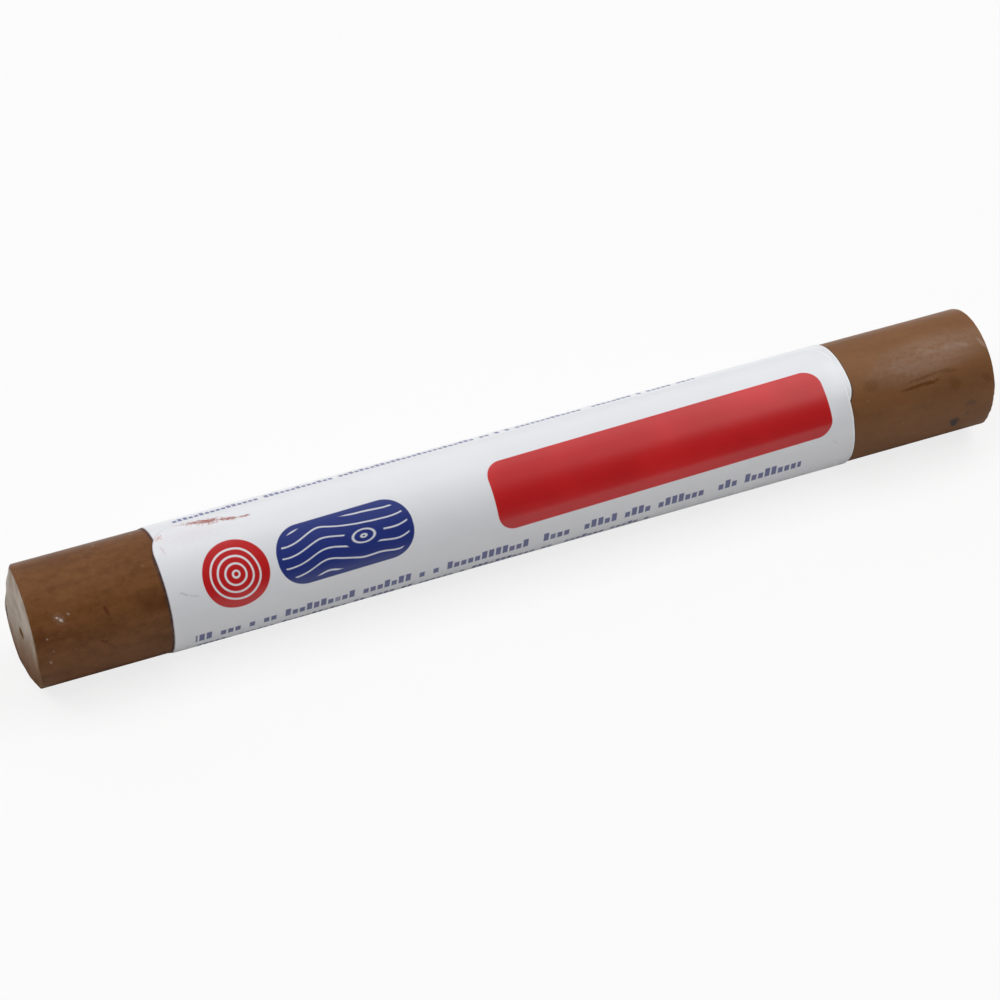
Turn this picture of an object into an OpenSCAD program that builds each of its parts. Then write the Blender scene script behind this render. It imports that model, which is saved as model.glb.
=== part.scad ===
// Furniture repair wax stick: a cast bar of hard wax with one paper label wrapped round it.
// The stick lies along X on the table at z = 0, with its gate end at -X.

/* [Wax stick] */
// Diameter of the cast wax bar
wax_d = 11.1; // [8:0.1:16]
// Length of the bar between its two end faces
wax_length = 92.1; // [80:0.1:140]
// Rounding of the rim at the gate end, where the wax was poured
gate_rim_r = 0.35; // [0.1:0.05:1.5]
// Rounding of the rim at the other end, where handling has worn it
worn_rim_r = 0.6; // [0.1:0.05:2]
// Diameter of the small sink mark in the gate face
sink_d = 0.7; // [0.3:0.05:1.4]
// Depth of the sink mark
sink_depth = 0.12; // [0.04:0.01:0.3]
// Drop of the sink mark below the centre of the gate face
sink_drop = 0.45; // [0.2:0.05:1.5]

/* [Label paper] */
// Length of the label along the bar
label_length = 65.4; // [30:0.1:78]
// How far the label's outer long edge laps past its inner long edge
lap_width = 8.75; // [4:0.05:12]
// Radius of the label's four corners
label_corner_r = 3.2; // [0.8:0.1:4.5]
// Thickness of the paper
paper_t = 0.07; // [0.05:0.01:0.2]
// Bare wax between the gate face and the label, on the line of the outer long edge
label_offset = 11.9; // [1:0.1:26]
// Angle by which the label was wrapped askew, in degrees
label_skew = 1; // [0.25:0.25:3]
// Angle of the outer long edge round the bar, from the front and up over the top, in degrees
seam_angle = 111; // [0:1:180]
// Length round the bar of the ramp where the outer turn climbs onto the inner one
lap_ramp = 0.8; // [0.4:0.1:3]

/* [Label adhesive] */
// Thickness of the adhesive film under the paper
adhesive_t = 0.02; // [0.01:0.005:0.06]
// How far the adhesive is squeezed out past the two cut ends
end_squeeze = 0.22; // [0.05:0.01:0.6]
// How far the adhesive is squeezed out past the two long edges
edge_squeeze = 0.1; // [0.05:0.01:0.3]

/* [Hidden] */

wax_r = wax_d / 2;
layer_t = adhesive_t + paper_t;
axis_z = wax_r + layer_t;
gate_x = -wax_length / 2;
// The sink mark is a cap of this sphere
sink_ball_r = (sink_d * sink_d / 4 + sink_depth * sink_depth) / (2 * sink_depth);

// Places on the label are given on the wax's surface: x from the middle of its outer long edge,
// and arc round the bar from there, upwards at the front. A place across the sheet counts from
// the outer long edge to the inner one.
label_mid_x = gate_x + label_offset + label_length / 2;
label_width = PI * wax_d * cos(label_skew) + lap_width;
deg_per_arc = 180 / (PI * wax_r);

// Degrees round the bar between the rows of facets, and columns of facets along it
row_step = 1;
columns = 2;
corner_steps = 12;
// Inner faces stand this factor further out, so that no flat facet cuts into what it wraps
facet_rise = 1 / cos(row_step / 2);
// A sheet's pointed ends are cut off this far in, where only a sliver would be left
tip_inset = row_step / deg_per_arc / 8;
// The inner edge climbs this much from one column to the next, and the outer turn stays clear of it
lap_clearance = label_length * sin(label_skew) / columns;

// Height that the outer turn is lifted over the bar's own turn, at a place across the sheet
function lap_lift(place) =
    let (share = min(1, max(0, (lap_width + lap_clearance + lap_ramp - place) / lap_ramp)))
    layer_t * share * share * (3 - 2 * share);

// Askew outline of a sheet with round corners, as [x, arc] points
function sheet_outline(half, low, high, corner) = [
    for (quarter = [0 : 3], i = [0 : corner_steps])
        let (turn = 90 * (quarter + i / corner_steps),
             along = (quarter == 0 || quarter == 3 ? half - corner : corner - half)
                 + corner * cos(turn),
             place = (quarter < 2 ? high - corner : low + corner) + corner * sin(turn))
        [along * cos(label_skew) + place * sin(label_skew),
         along * sin(label_skew) - place * cos(label_skew)]
];

// Places along the bar where an outline crosses the row at an arc
function crossings(outline, arc) = [
    for (i = [0 : len(outline) - 1])
        let (a = outline[i], b = outline[(i + 1) % len(outline)])
        if ((a[1] <= arc) != (b[1] <= arc))
            a[0] + (b[0] - a[0]) * (arc - a[1]) / (b[1] - a[1])
];

// Arcs of a sheet's rows: at whole steps of angle, so that both turns share them, and at both tips
function rows(low, high) = concat(
    [low],
    [for (k = [ceil((seam_angle + low * deg_per_arc) / row_step)
             : floor((seam_angle + high * deg_per_arc) / row_step)])
        let (arc = (k * row_step - seam_angle) / deg_per_arc)
        if (arc > low + tip_inset && arc < high - tip_inset) arc],
    [high]);

// A point at a place on the label, r from the bar's axis
function on_bar(x, arc, r) =
    let (turn = seam_angle + arc * deg_per_arc)
    [label_mid_x + x, -r * cos(turn), axis_z + r * sin(turn)];

// A sheet wrapped round the bar between two heights over the wax, wider than the paper by margins
module wrapped_sheet(height_in, height_out, end_margin, edge_margin) {
    outline = sheet_outline(label_length / 2 + end_margin, -edge_margin,
                            label_width + edge_margin, label_corner_r + edge_margin);
    arcs = rows(min([for (p = outline) p[1]]) + tip_inset, max([for (p = outline) p[1]]) - tip_inset);
    row_points = 2 * (columns + 1);
    last = len(arcs) - 1;
    points = [
        for (arc = arcs)
            let (ends = crossings(outline, arc), left = min(ends), right = max(ends))
            for (j = [0 : columns])
                let (x = left + (right - left) * j / columns,
                     place = x * sin(label_skew) - arc * cos(label_skew),
                     r = wax_r + lap_lift(place))
                each [on_bar(x, arc, r + height_out),
                      on_bar(x, arc, (r + height_in) * facet_rise)]
    ];
    faces = concat(
        // Outer and inner skin
        [for (i = [0 : last - 1], j = [0 : columns - 1])
            let (a = i * row_points + 2 * j, b = a + 2, c = a + row_points, d = c + 2)
            each [[a, c, b], [b, c, d], [a + 1, b + 1, c + 1], [b + 1, d + 1, c + 1]]],
        // Cut ends
        [for (i = [0 : last - 1])
            let (a = i * row_points, c = a + row_points,
                 b = a + 2 * columns, d = c + 2 * columns)
            each [[a, a + 1, c], [a + 1, c + 1, c], [b, d, b + 1], [b + 1, d, d + 1]]],
        // Tips of the long edges
        [for (j = [0 : columns - 1])
            let (a = 2 * j, b = a + 2, c = last * row_points + a, d = c + 2)
            each [[a, b, a + 1], [a + 1, b, b + 1], [c, c + 1, d], [c + 1, d + 1, d]]]
    );
    polyhedron(points = points, faces = faces, convexity = 6);
}

// Half outline of the bar, from its axis out, with its gate end at y = 0
module bar_profile() {
    translate([0, gate_rim_r]) square([wax_r, wax_length - gate_rim_r - worn_rim_r]);
    square([wax_r - gate_rim_r, wax_length / 2]);
    translate([0, wax_length / 2]) square([wax_r - worn_rim_r, wax_length / 2]);
    translate([wax_r - gate_rim_r, gate_rim_r]) circle(gate_rim_r, $fn = 48);
    translate([wax_r - worn_rim_r, wax_length - worn_rim_r]) circle(worn_rim_r, $fn = 48);
}

// Solid bar of brown wax, cast in one piece
module wax_stick() {
    color("#7a5233")
    difference() {
        translate([gate_x, 0, axis_z]) rotate([0, 90, 0]) rotate_extrude($fn = 120) bar_profile();
        translate([gate_x + sink_depth - sink_ball_r, 0, axis_z - sink_drop])
            sphere(sink_ball_r, $fn = 48);
    }
}

// Film of adhesive between the label and the wax, squeezed out a little at every edge
module label_adhesive() {
    color("#4a2a35")
    wrapped_sheet(0, adhesive_t, end_squeeze, edge_squeeze);
}

// Printed paper sheet with round corners, wrapped once round and lapped over itself
module label_paper() {
    color("#dfe1e6")
    wrapped_sheet(adhesive_t, layer_t, 0, 0);
}

wax_stick();
label_adhesive();
label_paper();
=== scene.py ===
import math
from functools import reduce

import bmesh
import bpy
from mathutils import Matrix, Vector, noise


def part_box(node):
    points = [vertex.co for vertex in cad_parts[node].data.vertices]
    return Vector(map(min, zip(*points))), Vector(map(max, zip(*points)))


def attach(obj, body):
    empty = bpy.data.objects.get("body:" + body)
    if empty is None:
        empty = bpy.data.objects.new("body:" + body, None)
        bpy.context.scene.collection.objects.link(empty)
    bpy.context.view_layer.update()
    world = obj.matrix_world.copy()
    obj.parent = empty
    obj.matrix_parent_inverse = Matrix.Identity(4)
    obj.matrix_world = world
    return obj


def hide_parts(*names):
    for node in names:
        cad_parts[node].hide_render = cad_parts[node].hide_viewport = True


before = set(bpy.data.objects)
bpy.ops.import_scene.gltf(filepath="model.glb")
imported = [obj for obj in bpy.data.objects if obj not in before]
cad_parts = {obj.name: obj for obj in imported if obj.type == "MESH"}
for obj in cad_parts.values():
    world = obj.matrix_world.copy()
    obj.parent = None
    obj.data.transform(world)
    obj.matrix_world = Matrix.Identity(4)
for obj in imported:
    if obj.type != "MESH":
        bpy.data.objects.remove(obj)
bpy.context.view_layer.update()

# Camera
# Where the photographer stood: a step to the left of the stick, looking steeply down on it.
# The stick's own length sets the distance, and the long lens keeps its two ends nearly alike.
mm = 0.001
camera_target = Vector((-1.29 * mm, 0, 5.07 * mm))
camera_distance = 318.43 * mm
camera_turn = math.radians(-22.878)
camera_height = math.radians(41.072)
camera_lens_mm = 127.87
camera_sensor_mm = 36
nearest_seen = 1 * mm
farthest_seen = 20

camera_data = bpy.data.cameras.new("camera")
camera_data.sensor_fit = "HORIZONTAL"
camera_data.sensor_width = camera_sensor_mm
camera_data.lens = camera_lens_mm
camera_data.clip_start = nearest_seen
camera_data.clip_end = farthest_seen
camera = bpy.data.objects.new("camera", camera_data)
bpy.context.collection.objects.link(camera)
towards_camera = Vector((
    math.sin(camera_turn) * math.cos(camera_height),
    -math.cos(camera_turn) * math.cos(camera_height),
    math.sin(camera_height)))
camera.location = camera_target + camera_distance * towards_camera
camera.rotation_euler = towards_camera.to_track_quat("Z", "Y").to_euler()
bpy.context.scene.camera = camera
bpy.context.scene.view_settings.view_transform = "Standard"


# Table
# A pale sheet of matt board under the stick, which takes the stick's soft shadow. To the camera
# and in reflections, most of its brightness is even, as on an overexposed sweep.
class Field:
    """A value that varies over a surface. Arithmetic on it adds Math nodes to its finish."""

    def __init__(self, finish, socket):
        self.finish = finish
        self.socket = socket

    def math(self, operation, *values):
        return self.finish.node("Math", {"operation": operation}, dict(enumerate(values)))

    def __add__(self, other):
        return self.math("ADD", self, other)

    __radd__ = __add__

    def __sub__(self, other):
        return self.math("SUBTRACT", self, other)

    def __rsub__(self, other):
        return self.math("SUBTRACT", other, self)

    def __mul__(self, other):
        return self.math("MULTIPLY", self, other)

    __rmul__ = __mul__

    def __truediv__(self, other):
        return self.math("DIVIDE", self, other)

    def __abs__(self):
        return self.math("ABSOLUTE", self)

    def least(self, other):
        return self.math("MINIMUM", self, other)

    def most(self, other):
        return self.math("MAXIMUM", self, other)

    def fraction(self):
        return self.math("FRACT", self)

    def floor(self):
        return self.math("FLOOR", self)

    def root(self):
        return self.math("SQRT", self)

    def sine(self):
        return self.math("SINE", self)

    def between(self, low, high):
        """0 where the value is low or less, 1 where it is high or more, smooth between."""
        return self.finish.node(
            "MapRange", {"interpolation_type": "SMOOTHSTEP"},
            {"Value": self, "From Min": low, "From Max": high, "To Min": 0.0, "To Max": 1.0})


class Finish:
    """The nodes of a material, or of the room's light, round the shader that they feed."""

    def __init__(self, owner, shader="Principled BSDF"):
        owner.use_nodes = True
        self.owner = owner
        self.tree = owner.node_tree
        self.shader = self.tree.nodes[shader]

    def feed(self, socket, value):
        if isinstance(value, Field):
            self.tree.links.new(value.socket, socket)
        else:
            socket.default_value = value

    def node(self, kind, settings=None, sockets=None, output=0):
        """Add a node: its settings first, then the values or links of its sockets."""
        made = self.tree.nodes.new("ShaderNode" + kind)
        for name, value in (settings or {}).items():
            setattr(made, name, value)
        for key, value in (sockets or {}).items():
            self.feed(made.inputs[key], value)
        return Field(self, made.outputs[output])

    def set(self, **sockets):
        """Set or link the shader's own sockets."""
        for name, value in sockets.items():
            self.feed(self.shader.inputs[name.replace("_", " ")], value)

    def split(self, vector):
        """The X, Y and Z of a vector."""
        axes = self.node("SeparateXYZ", sockets={"Vector": vector})
        return [Field(self, socket) for socket in axes.socket.node.outputs]

    def mix(self, under, over, share):
        """The colour under, covered by the colour over where share is 1."""
        return self.node("Mix", {"data_type": "RGBA"}, {0: share, 6: under, 7: over}, output=2)

    def grain(self, place, scale, detail=2.0, roughness=0.5):
        """Soft noise about 0.5, of a scale that may differ along X, Y and Z."""
        stretched = self.node("Mapping", sockets={"Vector": place, "Scale": scale})
        return self.node("TexNoise", sockets={
            "Vector": stretched, "Scale": 1.0, "Detail": detail, "Roughness": roughness})


table_size = 12.0
table_colour = (0.87, 0.86, 0.85, 1)
table_even_share = 0.8
# How far a ray has run where the even brightness sets in, and where it takes over
table_even_reach = (5 * mm, 30 * mm)
table_far_reach = (430 * mm, 1300 * mm)
contact_shade = 0.45
contact_reach = (3 * mm, 16 * mm)
white = (1, 1, 1, 1)
black = (0, 0, 0, 1)

bpy.ops.object.select_all(action="DESELECT")
bpy.ops.mesh.primitive_plane_add(size=table_size, location=(0, 0, 0))
table = bpy.context.object
table.name = "table"
board = Finish(bpy.data.materials.new("pale_board"))
board.set(Base_Color=table_colour, Roughness=0.9, Specular_IOR_Level=0.0)
ray_length = board.node("LightPath", output="Ray Length")
glossy_ray = board.node("LightPath", output="Is Glossy Ray")
seen = board.node("LightPath", output="Is Camera Ray").most(glossy_ray).most(
    board.node("LightPath", output="Is Transmission Ray"))
# Rays that end close by look into the stick's own shadow, where the board isn't overexposed.
# Far off, all of its brightness is even, so that no horizon shows.
far = ray_length.between(*table_even_reach)
even_share = table_even_share + (1 - table_even_share) * ray_length.between(*table_far_reach)
even = board.node("Emission", sockets={"Color": white, "Strength": 1.0})
shown = board.node("MixShader", sockets={
    0: seen * far * even_share, 1: Field(board, board.shader.outputs[0]), 2: even})
# Glossy rays that end close by also see the board mixed with black: a painted contact shade.
near = glossy_ray * (1 - ray_length.between(*contact_reach))
unlit = board.node("Emission", sockets={"Color": black, "Strength": 0.0})
shaded = board.node("MixShader", sockets={0: near * contact_shade, 1: shown, 2: unlit})
board.feed(board.tree.nodes["Material Output"].inputs["Surface"], shaded)
table.data.materials.append(board.owner)

# Light
# Two wide soft boxes stand over the ends of the stick, and two hang above and behind it.
# Nothing shines from the camera's side, so the stick's front is lit by the table alone.
room_light = 0.05
box_colour = (0.98, 0.99, 1.0)


def soft_box(name, turn, height, distance, width, depth, radiance):
    """A soft box that looks at the stick from a turn about Z and a height, both in degrees."""
    data = bpy.data.lights.new(name, "AREA")
    data.shape = "RECTANGLE"
    data.size = width
    data.size_y = depth
    data.energy = radiance * math.pi * width * depth
    data.color = box_colour
    box = bpy.data.objects.new(name, data)
    turn = math.radians(turn)
    height = math.radians(height)
    towards_box = Vector((
        math.cos(turn) * math.cos(height), math.sin(turn) * math.cos(height), math.sin(height)))
    box.location = camera_target + distance * towards_box
    box.rotation_euler = towards_box.to_track_quat("Z", "Y").to_euler()
    box.visible_camera = False
    bpy.context.collection.objects.link(box)


soft_box("left_light", 180, 52, 700 * mm, 730 * mm, 310 * mm, 3.7)
soft_box("right_light", 0, 52, 700 * mm, 730 * mm, 310 * mm, 3.7)
soft_box("top_light", 90, 77, 700 * mm, 560 * mm, 320 * mm, 1.2)
soft_box("back_light", 90, 35, 900 * mm, 1300 * mm, 640 * mm, 0.8)

room = Finish(bpy.data.worlds.new("room"), "Background")
room_seen = room.node("LightPath", output="Is Camera Ray").most(
    room.node("LightPath", output="Is Transmission Ray"))
room.set(Color=white, Strength=room_light + (1 - room_light) * room_seen)
bpy.context.scene.world = room.owner

# Wax stick
# A bar of hard brown filler wax, cast in a round mould and cooled, so that its skin is satin
# with faint flow streaks along it. The rims are rubbed, and the pouring end has a sink mark.
wax_low, wax_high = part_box("wax_stick")
wax_r = (wax_high.z - wax_low.z) / 2
wax_length = wax_high.x - wax_low.x
axis_z = (wax_high.z + wax_low.z) / 2
gate_x = wax_low.x
wax_sides = 256
rim_r = 0.3 * mm
rim_steps = 6
side_rows = 150
face_ring = 0.42 * mm
face_rings = 11
fine_ring = 0.06 * mm
fine_rings = 9
sink_r = 0.55 * mm
sink_depth = 0.26 * mm
sink_place = Vector((-0.28 * mm, -0.34 * mm))
wax_smooth_angle = math.radians(60)

# Wear, in millimetres, at equal steps of angle from the front and up over the top: how far each
# rim is worn round, and how far the gate rim is shaved off along the bar
gate_rim_wear = (
    0.12, 0.10, 0.07, 0.07, 0.08, 0.08, 0.08, 0.10, 0.12, 0.14, 0.10, 0.10, 0.10, 0.08, 0.08, 0.10)
worn_rim_wear = (
    0.50, 0.16, 0.07, 0.08, 0.08, 0.10, 0.20, 0.30, 0.35, 0.40, 0.45, 0.40, 0.35, 0.30, 0.30, 0.55)
gate_shaved = (
    0.05, 0.05, 0.03, 0.07, 0.13, 0.22, 0.74, 0.72, 0.46, 0.06, 0, 0.04, 0.26, 0.50, 0.44, 0.21)
wear_reach = 2.4 * mm
wear_unevenness = 0.4
wear_bumps = 9
# The shaved part slopes in towards the side, and it is wider at the back and below
shaved_width = 0.55 * mm
shaved_more_behind = 1.2 * mm
shaved_more_below = 0.35 * mm
# The skin sinks unevenly: how deep, how long each hollow is, and how many go round the bar
skin_hollows = ((0.010 * mm, 9 * mm, 1.4), (0.006 * mm, 14 * mm, 5))
face_hollow = 0.02 * mm
face_hollow_size = 1.6 * mm
# Keeps the hollows of the two faces apart
face_apart = 3.7


def select_in_edit_mode(mode, choose):
    """Select just the elements of the active mesh that choose says yes to."""
    bpy.ops.object.mode_set(mode="EDIT")
    bpy.ops.mesh.select_mode(type=mode)
    bpy.ops.mesh.select_all(action="DESELECT")
    mesh = bmesh.from_edit_mesh(bpy.context.object.data)
    elements = {"VERT": mesh.verts, "EDGE": mesh.edges, "FACE": mesh.faces}[mode]
    for element in elements:
        if choose(element):
            element.select_set(True)
    bmesh.update_edit_mesh(bpy.context.object.data)


def run_along(edge):
    """How far an edge runs along the bar."""
    return abs(edge.verts[0].co.x - edge.verts[1].co.x)


def clamped(share):
    return min(1, max(0, share))


def eased(share):
    """A share that sets out and arrives softly."""
    return share * share * (3 - 2 * share)


def wear_at(wear_table, turn):
    """Smooth value of a table of wear at an angle round the bar."""
    step = turn / (2 * math.pi) * len(wear_table)
    first = math.floor(step)
    low = wear_table[first % len(wear_table)]
    high = wear_table[(first + 1) % len(wear_table)]
    return (low + (high - low) * eased(step - first)) * mm


def worn_in(distance, worn):
    """How far in from a rim's corner a point comes to lie, once the rim is worn round."""
    if distance <= rim_r:
        return distance * worn / rim_r
    if distance < wear_reach:
        return worn + (distance - rim_r) * (wear_reach - worn) / (wear_reach - rim_r)
    return distance


def used(point):
    """Where a point of the cast bar lies once the bar is cooled and worn, all inside its size."""
    x, y, z = point.x, point.y, point.z - axis_z
    at_gate = x < 0
    outward = -1 if at_gate else 1
    turn = math.atan2(z, -y)
    forward = math.cos(turn)
    upward = math.sin(turn)
    radius = math.hypot(y, z)
    inset = wax_length / 2 - abs(x)
    worn = wear_at(gate_rim_wear if at_gate else worn_rim_wear, turn)
    wear_place = Vector((wear_bumps * forward, wear_bumps * upward, outward))
    worn *= 1 + wear_unevenness * noise.noise(wear_place)
    new_inset = worn_in(inset, worn)
    new_depth = worn_in(wax_r - radius, worn)
    if radius > 0:
        sunk = 0
        for hollow, length, count in skin_hollows:
            skin_place = Vector((x / length, count * forward, count * upward))
            sunk += hollow * (1 + noise.noise(skin_place))
        # The faces keep their outline but for the part next to the rim
        new_radius = max(0, wax_r - new_depth - sunk * min(1, 1.05 * radius / wax_r) ** 8)
        y *= new_radius / radius
        z *= new_radius / radius
    if inset < rim_r / 4:
        face_place = Vector((y / face_hollow_size, z / face_hollow_size, face_apart * outward))
        new_inset += face_hollow * (1 + noise.noise(face_place))
    if at_gate and inset < rim_r:
        away = math.hypot(y - sink_place.x, z - sink_place.y) / sink_r
        new_inset += sink_depth * max(0, 1 - away * away) ** 1.5
    if at_gate and radius > 0:
        slope_width = shaved_width + shaved_more_behind * max(0, y / radius)
        slope_width += shaved_more_below * max(0, -z / radius)
        new_inset = max(new_inset, wear_at(gate_shaved, turn) * (1 - new_depth / slope_width))
    return Vector((outward * (wax_length / 2 - new_inset), y, z + axis_z))


bpy.ops.object.select_all(action="DESELECT")
bpy.ops.mesh.primitive_cylinder_add(
    vertices=wax_sides, radius=wax_r, depth=wax_length,
    location=(0, 0, axis_z), rotation=(0, math.pi / 2, 0))
wax = bpy.context.object
wax.name = "wax_bar"
bpy.ops.object.transform_apply(location=True, rotation=True, scale=True)

# The rims are rounded, the side is cut into rows, and the end faces into rings
select_in_edit_mode("EDGE", lambda edge: run_along(edge) < wax_length / 2)
bpy.ops.mesh.bevel(offset=rim_r, segments=rim_steps, profile=0.5, affect="EDGES")
select_in_edit_mode("EDGE", lambda edge: run_along(edge) > wax_length / 2)
bpy.ops.mesh.subdivide(number_cuts=side_rows, smoothness=0)
select_in_edit_mode("FACE", lambda face: len(face.verts) == wax_sides)
for thickness, rings in ((face_ring, face_rings), (fine_ring, fine_rings)):
    for ring in range(rings):
        bpy.ops.mesh.inset(thickness=thickness)
bpy.ops.mesh.poke()
bpy.ops.mesh.select_all(action="SELECT")
bpy.ops.mesh.normals_make_consistent(inside=False)
bpy.ops.object.mode_set(mode="OBJECT")
for vertex in wax.data.vertices:
    vertex.co = used(vertex.co)
bpy.ops.object.shade_smooth_by_angle(angle=wax_smooth_angle)


def on_wax(x_mm, turn_degrees):
    """A point on the wax's skin, from its place along the stick and round it from the front."""
    turn = math.radians(turn_degrees)
    return Vector((x_mm * mm, -wax_r * math.cos(turn), axis_z + wax_r * math.sin(turn)))


def on_gate_face(y_mm, z_mm):
    """A point on the gate face, from its place off the bar's axis."""
    return Vector((gate_x, y_mm * mm, axis_z + z_mm * mm))


def from_stroke(place, start, end, width):
    """Distance from a stroke between two points: 0 on its middle, 1 at its rounded outline."""
    run = end - start
    turned = run.to_track_quat("X", "Z").to_euler() if run.length else (0, 0, 0)
    seen_from = place.finish.node(
        "Mapping", {"vector_type": "TEXTURE"},
        {"Vector": place, "Location": (start + end) / 2, "Rotation": turned,
         "Scale": ((run.length + width) / 2, width / 2, width / 2)})
    return place.finish.node("VectorMath", {"operation": "LENGTH"}, {0: seen_from}, output=1)


# Marks of use, and a painted highlight on the worn rim: start and end as places along the stick (mm)
# and round it (degrees), width, depth
brown_strokes = (
    ((36.5, 36.2), (40.2, 38.6), 0.30, 0.95), ((38.9, 37.1), (40.4, 38.1), 0.44, 0.9),
    ((37.5, 42.5), (40.8, 45.3), 0.34, 0.55), ((40.8, 45.1), (42.3, 43.1), 0.50, 0.55),
    ((33.5, 50.2), (34.1, 49.3), 1.2, 0.45), ((41.7, 34.0), (42.2, 27.0), 1.1, 0.42),
    ((-42.2, 87.5), (-41.5, 85.5), 0.7, 0.4))
red_spots = (
    ((-39.5, 40.0), (-39.35, 35.8), 0.42, 0.75), ((-40.4, 11.6), (-39.9, 9.5), 0.34, 0.6),
    ((-39.9, 8.0), (-39.1, -1.5), 0.22, 0.45), ((-45.3, 33.0), (-45.3, 28.0), 0.9, 0.35),
    ((-39.5, 94.0), (-39.3, 92.5), 0.3, 0.45), ((45.1, 30.0), (45.5, 24.0), 0.8, 0.3))
dark_spots = (
    ((41.92, -13.0), (41.98, -16.6), 1.1, 0.95), ((43.2, -6.0), (43.2, -6.4), 0.34, 0.4),
    ((43.4, 7.2), (43.7, 5.8), 0.72, 0.36), ((43.0, 5.8), (43.0, 5.0), 0.50, 0.30),
    ((38.6, 16.8), (38.7, 15.2), 0.62, 0.22), ((-35.2, 18.6), (-35.2, 17.6), 0.26, 0.45))
pale_specks_and_highlight = (
    ((-43.72, 43.6), (-43.62, 42.8), 0.20, 0.9), ((-43.45, 40.6), (-43.32, 39.8), 0.27, 0.9),
    ((-43.6, 43.0), (-43.4, 40.0), 0.90, 0.08), ((-42.7, 44.6), (-42.6, 43.8), 0.22, 0.3),
    ((-44.92, 27.6), (-44.90, 27.0), 0.18, 0.35), ((-44.95, 4.6), (-44.9, 2.6), 0.22, 0.3),
    ((-44.6, 15.0), (-44.5, 14.0), 0.22, 0.12), ((-38.45, 112.4), (-38.4, 111.8), 0.16, 0.5),
    ((-35.0, 115.2), (-34.9, 114.8), 0.14, 0.5), ((39.7, 71.0), (40.8, 66.0), 0.50, 0.08),
    ((41.9, 67.6), (42.9, 64.6), 0.50, 0.08), ((43.3, 67.4), (44.4, 62.6), 0.44, 0.12),
    # The last pale one, on the worn rim, is a painted highlight.
    ((45.5, 66.0), (45.85, 57.0), 0.36, 0.2))
dark_patch = ((-36.6, 40.0), (-34.0, 30.0), 2.6)
rubbed_patch = ((34.8, 58.0), (45.4, 69.0), 5.2)
# Painted shade of a nick in the gate rim, from and to places off the bar's axis (mm)
rim_nick_shade = ((4.5, -1.3), (4.4, -2.4))
nick_width = 0.42 * mm
# Where along the stick it is handled, and where its end faces begin
handled_reach = (-35 * mm, 45 * mm)
end_reach = (wax_length / 2 - 1.1 * mm, wax_length / 2 - 1.0 * mm)
# In from the rim: the width of its bare lip, and the soft borders of the lip and the face
lip_width = 0.36 * mm
lip_border = (0.04 * mm, 0.10 * mm)
face_border = (0.09 * mm, 0.17 * mm)
# Where the painted sheen of the end faces sets in above the bottom, and where it is a little thinner
# behind
sheen_above = (-5.4 * mm, 1.4 * mm)
sheen_behind = (1 * mm, 5.3 * mm)
wax_relief = 0.05 * mm
# Grain of the wax, in waves per metre along X, Y and Z
broad_grain = (170, 330, 330)
streak_grain = (90, 1300, 1300)
fine_grain = (900, 4200, 4200)
mottle_grain = (1300, 1500, 1500)
speck_grain = (2600, 3200, 3200)
ragged_grain = (2400, 2400, 2400)
crumb_grain = (6000, 6000, 6000)
scraped_grain = (300, 2600, 330)
cloudy_grain = (200, 420, 420)

wax_dark = (0.108, 0.039, 0.0115, 1)
wax_light = (0.188, 0.076, 0.026, 1)
wax_handled = (0.245, 0.114, 0.049, 1)
wax_deep = (0.100, 0.032, 0.009, 1)
wax_rubbed = (0.31, 0.210, 0.165, 1)
wax_reddish = (0.185, 0.062, 0.026, 1)
stroke_brown = (0.118, 0.043, 0.0095, 1)
spot_red = (0.095, 0.018, 0.010, 1)
spot_dark = (0.036, 0.031, 0.033, 1)
pale_speck_and_highlight = (0.55, 0.48, 0.43, 1)
speck_wax = (0.34, 0.24, 0.16, 1)
lip_brown = (0.150, 0.086, 0.034, 1)
painted_sheen_grey = (0.315, 0.243, 0.170, 1)
sink_brown = (0.120, 0.058, 0.015, 1)
painted_nick_shade = (0.030, 0.014, 0.008, 1)
wax_tint = (1, 0.75, 0.55, 1)


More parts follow.
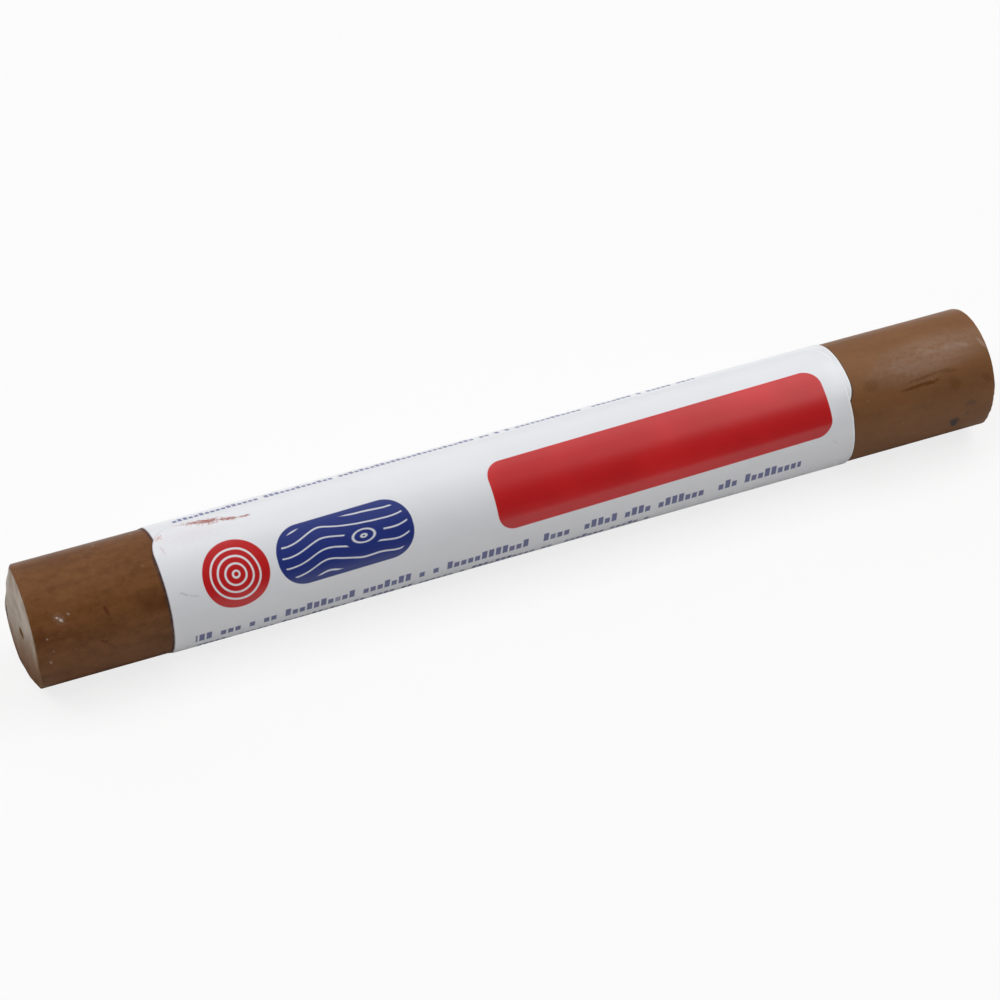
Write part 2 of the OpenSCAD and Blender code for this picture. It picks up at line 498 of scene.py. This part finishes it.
def wax_finish():
    """Satin brown wax, faint flow streaks and marks of use; a rim highlight, a nick's shade and the
    ends' greyish sheen are painted.
    """
    finish = Finish(bpy.data.materials.new("brown_wax"))
    place = finish.node("TexCoord", output="Object")
    x, y, height = finish.split(place)
    z = height - axis_z
    to_rim = wax_r - (y * y + z * z).root()
    broad = finish.grain(place, broad_grain, 3.0, 0.55)
    streaks = finish.grain(place, streak_grain, 3.0, 0.55)
    fine = finish.grain(place, fine_grain, 2.0, 0.6)
    specks = finish.grain(place, speck_grain, 1.0, 0.5)
    ragged = finish.grain(place, ragged_grain, 2.0, 0.6)
    crumbs = finish.grain(place, crumb_grain, 2.0, 0.6)
    mottle = finish.grain(place, mottle_grain, 4.0, 0.65)

    def patch(start, end, width, softness):
        away = from_stroke(place, on_wax(*start), on_wax(*end), width * mm)
        return (1 - away).between(0, softness)

    def marks(strokes, softness=0.8, edge=ragged):
        shares = []
        for start, end, width, depth in strokes:
            away = from_stroke(place, on_wax(*start), on_wax(*end), width * mm)
            shares.append((1.25 - away + (edge - 0.5) * 1.6).between(0, softness) * depth)
        return reduce(Field.most, shares)

    # The wax itself, paler towards the worn end, where it was handled
    tone = broad * 0.38 + streaks * 0.2 + fine * 0.1 + mottle * 0.32
    colour = finish.mix(wax_dark, wax_light, tone.between(0.35, 0.65))
    colour = finish.mix(colour, wax_handled, x.between(*handled_reach) * 0.5)
    colour = finish.mix(colour, wax_deep, patch(*dark_patch, 0.8) * (0.3 + 0.5 * broad))
    rubbed = patch(*rubbed_patch, 0.7) * (streaks * 0.5 + ragged * 0.5).between(0.2, 0.65)
    colour = finish.mix(colour, wax_rubbed, rubbed * 0.5)
    reddish = streaks.between(0.52, 0.72) * broad.between(0.45, 0.62)
    colour = finish.mix(colour, wax_reddish, reddish * 0.5)
    colour = finish.mix(colour, stroke_brown, marks(brown_strokes))
    colour = finish.mix(colour, spot_red, marks(red_spots))
    colour = finish.mix(colour, spot_dark, marks(dark_spots))
    # Pale specks, and a painted highlight on the worn rim
    colour = finish.mix(colour, pale_speck_and_highlight, marks(pale_specks_and_highlight, 0.7, crumbs))
    colour = finish.mix(colour, speck_wax, specks.between(0.76, 0.82) * 0.5)

    # The end faces are scraped flat, and a greyish colour is painted on them as sheen, fainter at the
    # bottom, under a clear coat over the same part. The front of their rims is left without it, as a
    # lip.
    by_end = abs(x).between(*end_reach)
    lipped = (y * -0.94 - z * 0.34).between(0.40 * wax_r, 0.75 * wax_r)
    at_end = by_end * (to_rim - lipped * lip_width).between(*face_border)
    lip = by_end * to_rim.between(*lip_border) * (1 - at_end)
    colour = finish.mix(colour, lip_brown, lip * (0.35 + 0.5 * lipped))
    scraped = finish.grain(place, scraped_grain, 3.0, 0.6)
    cloudy = finish.grain(place, cloudy_grain, 2.0, 0.5)
    sink_middle = on_gate_face(*(sink_place / mm))
    in_sink = (1.15 - from_stroke(place, sink_middle, sink_middle, 2 * sink_r)).between(0, 0.3)
    nick_start, nick_end = (on_gate_face(*point) for point in rim_nick_shade)
    from_nick = from_stroke(place, nick_start, nick_end, nick_width)
    nick_shade = (1.2 - from_nick + (crumbs - 0.5)).between(0, 0.5)
    face_sheen = (z + y * 0.5).between(*sheen_above) * (1 - 0.15 * y.between(*sheen_behind))
    face_sheen = face_sheen * (0.45 + 0.5 * scraped + 0.5 * cloudy.between(0.35, 0.65))
    face_sheen = face_sheen * (1 - in_sink) * (1 - nick_shade)
    # Painted sheen: the end faces are coloured pale grey, most towards the top
    colour = finish.mix(colour, painted_sheen_grey, at_end * face_sheen * 0.92)
    colour = finish.mix(colour, sink_brown, at_end * in_sink * 0.9)
    # Painted shade in the nick
    colour = finish.mix(colour, painted_nick_shade, nick_shade * 0.85)

    rough = 0.44 + (streaks - 0.5) * 0.2 + (fine - 0.5) * 0.15 + (at_end + lip) * 0.3
    relief = streaks * 0.45 + fine * 0.25 + broad * 0.4 + scraped * at_end * 0.5
    bump = finish.node("Bump", sockets={"Strength": 0.3, "Distance": wax_relief, "Height": relief})
    finish.set(Base_Color=colour, Roughness=rough, Normal=bump, Coat_Weight=at_end * face_sheen * 0.5,
               Coat_Roughness=0.28, IOR=1.33, Specular_Tint=wax_tint)
    return finish.owner


wax.data.materials.append(wax_finish())
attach(wax, "root")
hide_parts("wax_stick")

# Label adhesive
# A thin film of dark pressure-sensitive glue under the whole label. It was squeezed out a hair
# past every edge of the paper, where it holds wax dust and shows as a dark line.
label_length = 65.4 * mm
lap_width = 8.75 * mm
label_corner_r = 3.2 * mm
paper_t = 0.07 * mm
glue_t = 0.02 * mm
label_offset = 11.9 * mm
label_skew = math.radians(1)
seam_angle = math.radians(111)
lap_ramp = 0.8 * mm
layer_t = glue_t + paper_t
label_mid_x = gate_x + label_offset + label_length / 2
label_width = 2 * math.pi * wax_r * math.cos(label_skew) + lap_width
# The outer turn's two corners haven't quite stuck down
lifted_length = 5 * mm
lifted_width = 9 * mm
gate_corner_lift = 0.08 * mm
worn_corner_lift = 0.24 * mm
# Glue past the edges. Where the outer turn lies on the inner one, it is drawn in under the paper,
# but for the part of the gate end that overhangs the inner turn and lies on wax.
end_squeeze = 0.17 * mm
worn_end_squeeze = 0.07 * mm
edge_squeeze = 0.1 * mm
lap_tuck = 0.08 * mm
lap_overhang = 2.2 * mm
# The grid that a sheet is cut into before it is rolled
row_angle = math.radians(1.5)
column_width = 1.6 * mm
corner_steps = 14
sheet_smooth_angle = math.radians(40)
# The flat sheet's own map: its margin, and its scale in shares of the label's length
map_margin = 0.01
map_scale = 0.98
glue_wall = 0.9 * glue_t
dust_grain = (1800, 1800, 1800)
glue_dark = (0.072, 0.035, 0.029, 1)
glue_dusty = (0.130, 0.075, 0.060, 1)


def corner_lift(along, across):
    """How far a place near the outer turn's two corners stands off the turn below."""
    near_end = clamped(1 - (label_length / 2 - abs(along)) / lifted_length)
    near_edge = clamped(1 - across / lifted_width)
    most = worn_corner_lift if along > 0 else gate_corner_lift
    return most * near_end ** 2 * near_edge ** 2


def lap_lift(across):
    """How far the outer turn is lifted by the inner one that it lies on."""
    return layer_t * eased(clamped((lap_width + lap_ramp - across) / lap_ramp))


def rolled(along, across, height):
    """Where a point of the flat sheet comes to lie on the bar, at a height over the wax.

    Its place is given along the sheet from its middle, and across it from its outer long edge.
    """
    x = label_mid_x + along * math.cos(label_skew) + across * math.sin(label_skew)
    arc = along * math.sin(label_skew) - across * math.cos(label_skew)
    turn = seam_angle + arc / wax_r
    r = wax_r + lap_lift(across) + height + corner_lift(along, across)
    return Vector((x, -r * math.cos(turn), axis_z + r * math.sin(turn)))


def squeezed(along, across):
    """A point of the glue: its place, how far it sinks below the film, and its share of wall."""
    on_paper = clamped((lap_width + lap_ramp - across) / lap_ramp)
    if along < 0:
        on_paper *= clamped((lap_overhang + lap_ramp - across) / lap_ramp)
    along *= 1 - on_paper * (end_squeeze + lap_tuck) / (label_length / 2)
    across += on_paper * (edge_squeeze + lap_tuck) * clamped(1 - across / label_corner_r)
    along = min(along, label_length / 2 + worn_end_squeeze)
    # Squeezed out past the gate end, the glue of the outer turn sinks on to the wax
    sunk = lap_lift(across) if along < -label_length / 2 else 0
    return along, across, sunk, 1


def rolled_sheet(name, end_margin, edge_margin, height, thickness, settled, rim_width=0):
    """A flat sheet with round corners, cut into a fine grid, rolled round the bar and thickened."""
    length = label_length + 2 * end_margin
    width = label_width + 2 * edge_margin
    bpy.ops.object.select_all(action="DESELECT")
    bpy.ops.mesh.primitive_plane_add(size=1, location=(0, label_width / 2, 0))
    sheet = bpy.context.object
    sheet.name = name
    sheet.scale = (length, width, 1)
    bpy.ops.object.transform_apply(location=True, rotation=True, scale=True)
    select_in_edit_mode("VERT", lambda vertex: True)
    bpy.ops.mesh.bevel(offset=label_corner_r + end_margin, segments=corner_steps, affect="VERTICES")
    if rim_width:
        bpy.ops.mesh.select_all(action="SELECT")
        bpy.ops.mesh.inset(thickness=rim_width)
    rows = math.ceil(width / (row_angle * wax_r))
    columns = math.ceil(length / column_width)
    cuts = [((0, -edge_margin + width * i / rows, 0), (0, 1, 0)) for i in range(1, rows)]
    cuts += [((-length / 2 + length * i / columns, 0, 0), (1, 0, 0)) for i in range(1, columns)]
    for point, normal in cuts:
        bpy.ops.mesh.select_all(action="SELECT")
        bpy.ops.mesh.bisect(plane_co=point, plane_no=normal)
    bpy.ops.object.mode_set(mode="OBJECT")
    flat = sheet.data.uv_layers.active or sheet.data.uv_layers.new(name="flat_sheet")
    flat.name = "flat_sheet"
    for loop in sheet.data.loops:
        point = sheet.data.vertices[loop.vertex_index].co
        flat.data[loop.index].uv = (0.5 + map_scale * point.x / label_length,
                                    map_margin + map_scale * point.y / label_length)
    wall_share = sheet.vertex_groups.new(name="wall_share")
    for vertex in sheet.data.vertices:
        along, across, sunk, share = settled(vertex.co.x, vertex.co.y)
        wall_share.add([vertex.index], share, "REPLACE")
        vertex.co = rolled(along, across, height - sunk)
    # Rolling leaves the upper face inside, so the sheet is turned over before it gets its wall
    bpy.ops.object.mode_set(mode="EDIT")
    bpy.ops.mesh.select_all(action="SELECT")
    bpy.ops.mesh.flip_normals()
    bpy.ops.object.mode_set(mode="OBJECT")
    wall = sheet.modifiers.new("wall", "SOLIDIFY")
    wall.thickness = thickness
    wall.offset = -1
    wall.vertex_group = wall_share.name
    bpy.ops.object.modifier_apply(modifier=wall.name)
    bpy.ops.object.shade_smooth_by_angle(angle=sheet_smooth_angle)
    return sheet


def glue_finish():
    """Dark tacky film, with dust in it."""
    finish = Finish(bpy.data.materials.new("dark_glue"))
    dust = finish.grain(finish.node("TexCoord", output="Object"), dust_grain, 3.0, 0.6)
    colour = finish.mix(glue_dark, glue_dusty, dust.between(0.4, 0.7))
    finish.set(Base_Color=colour, Roughness=0.5 + 0.3 * dust, IOR=1.35)
    return finish.owner


glue = rolled_sheet("label_glue", end_squeeze, edge_squeeze, glue_t, glue_wall, squeezed)
glue.data.materials.append(glue_finish())
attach(glue, "root")
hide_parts("label_adhesive")

# Label paper
# One sheet of white coated paper with round corners, printed in red and navy and varnished, then
# wrapped once round the stick by hand, a degree askew, and lapped over itself behind the top.
# The cutter pressed its edge down, and thinned it there.
pressed_width = 0.14 * mm
pressed_drop = 0.062 * mm
paper_relief = 0.03 * mm
# Grain of the paper in waves per metre, of its print's wobble in waves per length of the map,
# and of its scuffs in waves per millimetre
fibre_grain = (900, 900, 900)
soft_grain = (140, 140, 140)
wobble_grain = (16, 16, 1)
scuff_grain = (3.2, 4.6, 1)

paper_shades = ((0.81, 0.815, 0.84, 1), (0.825, 0.83, 0.855, 1))
red_shades = ((0.54, 0.010, 0.012, 1), (0.65, 0.015, 0.017, 1))
navy = (0.018, 0.034, 0.205, 1)
small_navy = (0.035, 0.050, 0.23, 1)
cut_white_highlight = (0.97, 0.97, 0.97, 1)
cut_grimy = (0.40, 0.35, 0.365, 1)
brick = (0.36, 0.085, 0.062, 1)
pink = (0.66, 0.37, 0.35, 1)
grey = (0.50, 0.43, 0.42, 1)

# The print, in millimetres along the sheet from its middle and across it from its outer long
# edge. Boxes have their left, right, low and high sides and the radius of their corners.
print_edge = 0.07
red_bar = (-2.3, 30.6, 3.5, 9.85, 1.6)
navy_board = (-22.6, -10.0, 3.9, 9.2, 2.5)
board_rim = 0.45
board_line_pitch = 0.95
board_line = 0.065
knot_middle = (-14.6, 6.5)
knot_stretch = 3.4
knot_clearing = 1.02
knot_r = 0.72
knot_pitch = 0.42
knot_line = 0.06
disc_middle = (-26.4, 6.55)
disc_r = 3.0
disc_rim = 0.5
disc_pitch = 0.62
disc_line = 0.085
# Rows of small blocks: their low and high side, left and right end, and the blocks' pitch
block_rows = (
    (11.5, 12.6, -30.8, 27.3, 0.66), (13.6, 14.5, -30.9, 13.6, 0.56),
    (15.7, 16.45, -30.9, 24.0, 0.5), (17.7, 18.45, -30.9, 6.0, 0.5),
    (21.5, 22.25, -28.0, 26.0, 0.5), (23.4, 24.15, -28.0, 21.0, 0.5),
    (25.3, 26.05, -28.0, 26.0, 0.5), (27.2, 27.95, -28.0, 11.0, 0.5),
    (33.6, 34.35, -30.5, 20.0, 0.5))
# Which share of the blocks is left out and which is low, and how high a low one is. Half of a
# block's width is a share of the pitch.
blocks_left_out = (0.20, 0.21)
blocks_low = (0.66, 0.67)
low_block_height = 0.68
block_half_width = 0.37
# Along the sheet, from where its cut edge is grimy to where it is white with a painted highlight, and
# how wide each is
worn_end_reach = (-24, 24)
highlight_width = 0.15
grimy_width = 0.06
# Scuffs, and one wash: start and end, width, depth and colour. Wax was dragged over the print in brick
# red, it is pink where it was wiped, and grey where the label was handled. The broad faint pink wash
# tints and darkens the paper near the top of the gate end.
scuffs_and_wash = (
    ((-29.0, 0.45), (-27.2, 0.8), 0.66, 0.85, brick), ((-27.9, 0.8), (-26.0, 1.1), 0.92, 0.95, brick),
    ((-26.0, 1.15), (-24.5, 1.55), 0.62, 0.95, brick), ((-24.4, 1.58), (-23.4, 1.6), 0.38, 0.85, brick),
    ((-29.9, 0.30), (-28.8, 0.45), 0.25, 0.4, pink), ((-32.2, 1.75), (-31.2, 1.0), 0.32, 0.7, pink),
    # The second one here, 2.6 mm wide and faint, is the wash.
    ((-31.8, 1.2), (-31.3, 1.8), 0.28, 0.6, pink), ((-31.0, 1.7), (-26.5, 2.1), 2.6, 0.12, pink),
    ((-31.9, 2.2), (-31.7, 3.4), 0.25, 0.4, pink), ((-31.7, 6.7), (-30.9, 7.15), 0.26, 0.5, grey),
    ((-30.9, 7.15), (-29.9, 7.5), 0.2, 0.45, grey), ((30.5, 10.6), (31.0, 11.0), 0.3, 0.22, grey))


def pressed(along, across):
    """A point of the paper: its place, how far it is pressed down, and its share of wall."""
    over_x = max(0, abs(along) - (label_length / 2 - label_corner_r))
    over_y = max(0, abs(across - label_width / 2) - (label_width / 2 - label_corner_r))
    inward = label_corner_r - math.hypot(over_x, over_y)
    drop = pressed_drop * clamped(1 - inward / pressed_width)
    return along, across, drop, 1 - drop / paper_t


def paper_finish():
    """Coated paper with a red bar, a disc of rings, a grained board and rows of small blocks."""
    finish = Finish(bpy.data.materials.new("printed_paper"))
    sheet_map = finish.node("UVMap", {"uv_map": "flat_sheet"})
    map_u, map_v, _ = finish.split(sheet_map)
    u = (map_u - 0.5) * (label_length / mm / map_scale)
    p = (map_v - map_margin) * (label_length / mm / map_scale)

    def cover(distance):
        """Ink where the distance to its outline is negative."""
        return (0.5 - distance / print_edge).most(0).least(1)

    def from_box(left, right, low, high, corner):
        """Distance from the outline of a box with round corners, negative inside."""
        du = (abs(u - (left + right) / 2) - ((right - left) / 2 - corner)).most(0)
        dp = (abs(p - (low + high) / 2) - ((high - low) / 2 - corner)).most(0)
        return (du * du + dp * dp).root() - corner

    def from_middle(middle, stretch):
        """Distance from a point, the square of its share along u divided by stretch."""
        du = u - middle[0]
        dp = p - middle[1]
        return (du * du / stretch + dp * dp).root()

    def from_line(step, pitch):
        """Distance from the line that runs through the middle of each step."""
        return abs(step.fraction() - 0.5) * pitch

    place = finish.node("TexCoord", output="Object")
    fibre = finish.grain(place, fibre_grain, 3.0, 0.6)
    soft = finish.grain(place, soft_grain, 2.0, 0.5)
    wobble = finish.grain(sheet_map, wobble_grain, 1.0, 0.5) - 0.5
    paper = finish.mix(*paper_shades, soft.between(0.3, 0.7))
    red = finish.mix(*red_shades, soft.between(0.3, 0.7))
    colour = finish.mix(paper, red, cover(from_box(*red_bar)))

    # A tree's cut end in red, and a board of grain in navy
    from_disc = from_middle(disc_middle, 1)
    colour = finish.mix(colour, red, cover(from_disc - disc_r))
    ring = from_line(from_disc / disc_pitch + wobble * 0.8, disc_pitch)
    rings = cover(ring - disc_line) * cover(from_disc - (disc_r - disc_rim))
    colour = finish.mix(colour, paper, rings)
    from_board = from_box(*navy_board)
    colour = finish.mix(colour, navy, cover(from_board))
    wave = p + 0.32 * (u * 0.62).sine() + 0.14 * (u * 1.35 + 1).sine() + wobble * 0.7
    line = from_line(wave / board_line_pitch, board_line_pitch)
    from_knot = from_middle(knot_middle, knot_stretch)
    knot_ring = from_line(from_knot / knot_pitch + 0.2, knot_pitch)
    knot = cover(knot_ring - knot_line) * cover(from_knot - knot_r)
    grain = (cover(line - board_line) * cover(knot_clearing - from_knot)).most(knot)
    colour = finish.mix(colour, paper, grain * cover(from_board + board_rim) * 0.92)

    # Small blocks, some left out and some lower, by a hash of their number
    rows = []
    for seed, (low, high, left, right, pitch) in enumerate(block_rows, 1):
        cell = u / pitch + seed * 7.3
        chance = finish.node("TexWhiteNoise", {"noise_dimensions": "1D"},
                             {"W": cell.floor() + seed * 13.1})
        share = low_block_height + (1 - low_block_height) * chance.between(*blocks_low)
        half_height = (high - low) / 2 * share
        from_sides = abs(cell.fraction() - 0.5) * pitch - pitch * block_half_width
        block = from_sides.most(abs(p - high + half_height) - half_height)
        inked = chance.between(*blocks_left_out)
        rows.append(cover(block) * inked * cover(left - u) * cover(u - right))
    colour = finish.mix(colour, small_navy, reduce(Field.most, rows) * 0.85)

    flat = finish.node("CombineXYZ", sockets={"X": u, "Y": p})
    ragged = finish.grain(flat, scuff_grain, 3.0, 0.65)
    for start, end, width, depth, ink in scuffs_and_wash:
        away = from_stroke(flat, Vector((*start, 0)), Vector((*end, 0)), width)
        broken = (1.1 - away + (ragged - 0.5) * 2.4).between(0, 1.0)
        colour = finish.mix(colour, ink, broken * depth)

    # The cut edge is white at the worn end, its bare paper brightened as a painted highlight, and grimy
    # at the gate end, where it is held
    half_length = label_length / mm / 2
    outline = from_box(-half_length, half_length, 0, label_width / mm, label_corner_r / mm)
    toward_worn_end = u.between(*worn_end_reach)
    # Painted highlight: the cut edge is brightened to near white at the worn end
    colour = finish.mix(colour, cut_white_highlight, cover(-highlight_width - outline) * toward_worn_end)
    grimy = cover(-grimy_width - outline) * (1 - toward_worn_end)
    colour = finish.mix(colour, cut_grimy, grimy * 0.85)
    relief = soft * 0.8 + fibre * 0.2
    bump = finish.node("Bump", sockets={"Strength": 0.06, "Distance": paper_relief, "Height": relief})
    finish.set(Base_Color=colour, Roughness=0.32 + 0.02 * fibre, Normal=bump, IOR=1.5)
    return finish.owner


paper = rolled_sheet("label_sheet", 0, 0, layer_t, paper_t, pressed, pressed_width)
paper.data.materials.append(paper_finish())
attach(paper, "root")
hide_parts("label_paper")
